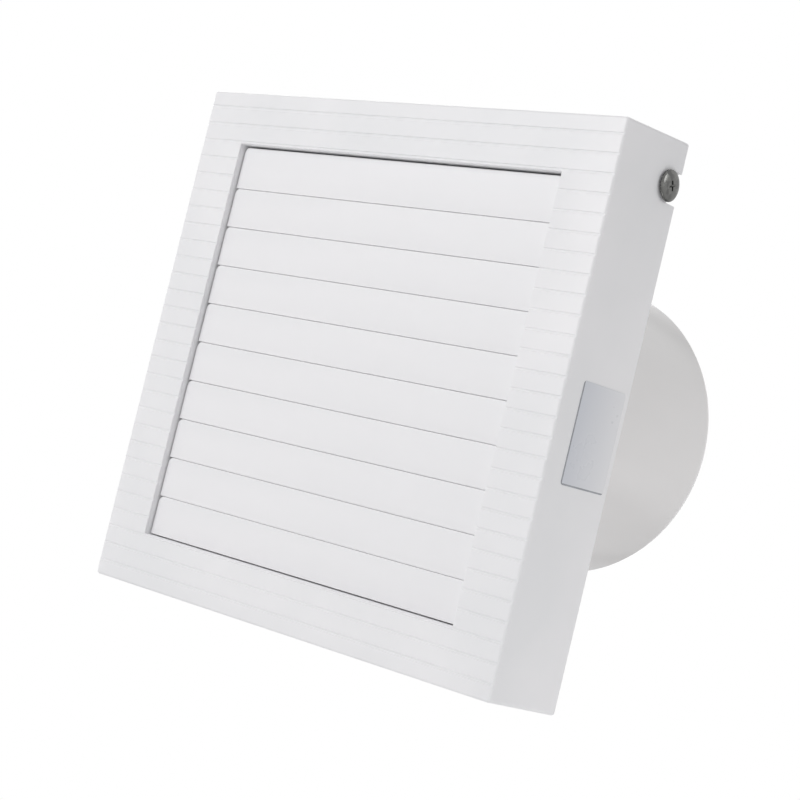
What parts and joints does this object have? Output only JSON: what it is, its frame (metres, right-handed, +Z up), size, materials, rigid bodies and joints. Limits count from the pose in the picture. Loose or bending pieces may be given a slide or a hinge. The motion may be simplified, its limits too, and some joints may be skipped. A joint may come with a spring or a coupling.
{
  "type": "window exhaust fan",
  "caption": "Square white exhaust fan for a window or wall, with a louvred cover that opens by itself and a round duct spigot behind.",
  "frame": {"origin": "where the duct's axis meets the plane of the wall's surface, at the back of the wall plate", "axes": "+X to the right across the cover, +Y along the duct into the wall, +Z up"},
  "size_m": [0.1664, 0.13, 0.1618],
  "materials": {
    "cover_abs": "moulded white ABS, satin gloss",
    "louvre_abs": "moulded white ABS, satin gloss",
    "duct_abs": "moulded white ABS, glossy",
    "acetal": "natural acetal",
    "impeller_abs": "moulded pale grey ABS",
    "terminal_nylon": "natural nylon",
    "foam": "closed-cell foam",
    "grommet_rubber": "moulded rubber",
    "black_zinc": "dark zinc plate",
    "zinc_steel": "pressed zinc-plated steel",
    "lamination_steel": "stacked steel laminations",
    "winding_copper": "enamelled copper wire",
    "bearing_bronze": "sintered bronze",
    "brass": "turned brass"
  },
  "bodies": {
    "housing": {"front_cover": "cover_abs", "base_housing": "duct_abs", "pivot_retainer_left": "acetal", "pivot_retainer_right": "acetal", "actuator_clip": "acetal", "cord_clamp": "acetal", "terminal_block": "terminal_nylon", "wall_gasket": "foam", "cable_grommet": "grommet_rubber", "cover_screw_left": "black_zinc", "cover_screw_right": "black_zinc", "motor_screw_1": "black_zinc", "motor_screw_2": "black_zinc", "actuator_clip_screw": "black_zinc", "cord_clamp_screw_1": "black_zinc", "cord_clamp_screw_2": "black_zinc", "motor_front_shell": "zinc_steel", "motor_rear_shell": "zinc_steel", "stator_core": "lamination_steel", "field_coil_1": "winding_copper", "field_coil_2": "winding_copper", "field_coil_3": "winding_copper", "field_coil_4": "winding_copper", "bearing_front": "bearing_bronze", "bearing_rear": "bearing_bronze", "actuator_body": "brass", "terminal_screw_1": "brass", "terminal_screw_2": "brass"},
    "louvre_01": {"louvre_01": "louvre_abs"},
    "louvre_02": {"louvre_02": "louvre_abs"},
    "louvre_03": {"louvre_03": "louvre_abs"},
    "louvre_04": {"louvre_04": "louvre_abs"},
    "louvre_05": {"louvre_05": "louvre_abs"},
    "louvre_06": {"louvre_06": "louvre_abs"},
    "louvre_07": {"louvre_07": "louvre_abs"},
    "louvre_08": {"louvre_08": "louvre_abs"},
    "louvre_09": {"louvre_09": "louvre_abs"},
    "louvre_10": {"louvre_10": "louvre_abs"},
    "tie_bar": {"tie_bar": "acetal"},
    "plunger": {"actuator_plunger": "zinc_steel"},
    "fan_rotor": {"impeller": "impeller_abs", "impeller_nut": "brass", "motor_shaft": "zinc_steel", "rotor": "lamination_steel"}
  },
  "joints": [
    {"name": "louvre_01_hinge", "type": "hinge", "parent": "housing", "child": "louvre_01", "pos_m": [0, -0.0249, 0.0557], "axis": [1, 0, 0], "range_deg": [0, 75]},
    {"name": "louvre_02_hinge", "type": "hinge", "parent": "housing", "child": "louvre_02", "pos_m": [0, -0.0249, 0.04327], "axis": [1, 0, 0], "range_deg": [0, 75]},
    {"name": "louvre_03_hinge", "type": "hinge", "parent": "housing", "child": "louvre_03", "pos_m": [0, -0.0249, 0.03084], "axis": [1, 0, 0], "range_deg": [0, 75]},
    {"name": "louvre_04_hinge", "type": "hinge", "parent": "housing", "child": "louvre_04", "pos_m": [0, -0.0249, 0.01841], "axis": [1, 0, 0], "range_deg": [0, 75]},
    {"name": "louvre_05_hinge", "type": "hinge", "parent": "housing", "child": "louvre_05", "pos_m": [0, -0.0249, 0.00598], "axis": [1, 0, 0], "range_deg": [0, 75]},
    {"name": "louvre_06_hinge", "type": "hinge", "parent": "housing", "child": "louvre_06", "pos_m": [0, -0.0249, -0.00645], "axis": [1, 0, 0], "range_deg": [0, 75]},
    {"name": "louvre_07_hinge", "type": "hinge", "parent": "housing", "child": "louvre_07", "pos_m": [0, -0.0249, -0.01888], "axis": [1, 0, 0], "range_deg": [0, 75]},
    {"name": "louvre_08_hinge", "type": "hinge", "parent": "housing", "child": "louvre_08", "pos_m": [0, -0.0249, -0.03131], "axis": [1, 0, 0], "range_deg": [0, 75]},
    {"name": "louvre_09_hinge", "type": "hinge", "parent": "housing", "child": "louvre_09", "pos_m": [0, -0.0249, -0.04374], "axis": [1, 0, 0], "range_deg": [0, 75]},
    {"name": "louvre_10_hinge", "type": "hinge", "parent": "housing", "child": "louvre_10", "pos_m": [0, -0.0249, -0.05617], "axis": [1, 0, 0], "range_deg": [0, 75]},
    {"name": "tie_bar_pin", "type": "hinge", "parent": "louvre_05", "child": "tie_bar", "pos_m": [0.06915, -0.0209, 0.00298], "axis": [1, 0, 0], "range_deg": [-75, 0]},
    {"name": "plunger_slide", "type": "slide", "parent": "housing", "child": "plunger", "axis": [0, 0, 1], "range_m": [0, 0.0061]},
    {"name": "impeller_spin", "type": "hinge", "parent": "housing", "child": "fan_rotor", "pos_m": [0, 0.014, 0], "axis": [0, 1, 0], "continuous": true}
  ],
  "couplings": [
    {"joint": "louvre_02_hinge", "follows": "louvre_01_hinge", "ratio": 1},
    {"joint": "louvre_03_hinge", "follows": "louvre_01_hinge", "ratio": 1},
    {"joint": "louvre_04_hinge", "follows": "louvre_01_hinge", "ratio": 1},
    {"joint": "louvre_05_hinge", "follows": "louvre_01_hinge", "ratio": 1},
    {"joint": "louvre_06_hinge", "follows": "louvre_01_hinge", "ratio": 1},
    {"joint": "louvre_07_hinge", "follows": "louvre_01_hinge", "ratio": 1},
    {"joint": "louvre_08_hinge", "follows": "louvre_01_hinge", "ratio": 1},
    {"joint": "louvre_09_hinge", "follows": "louvre_01_hinge", "ratio": 1},
    {"joint": "louvre_10_hinge", "follows": "louvre_01_hinge", "ratio": 1},
    {"joint": "tie_bar_pin", "follows": "louvre_01_hinge", "ratio": -1},
    {"joint": "plunger_slide", "follows": "louvre_01_hinge", "m_per_rad": 0.00465}
  ]
}
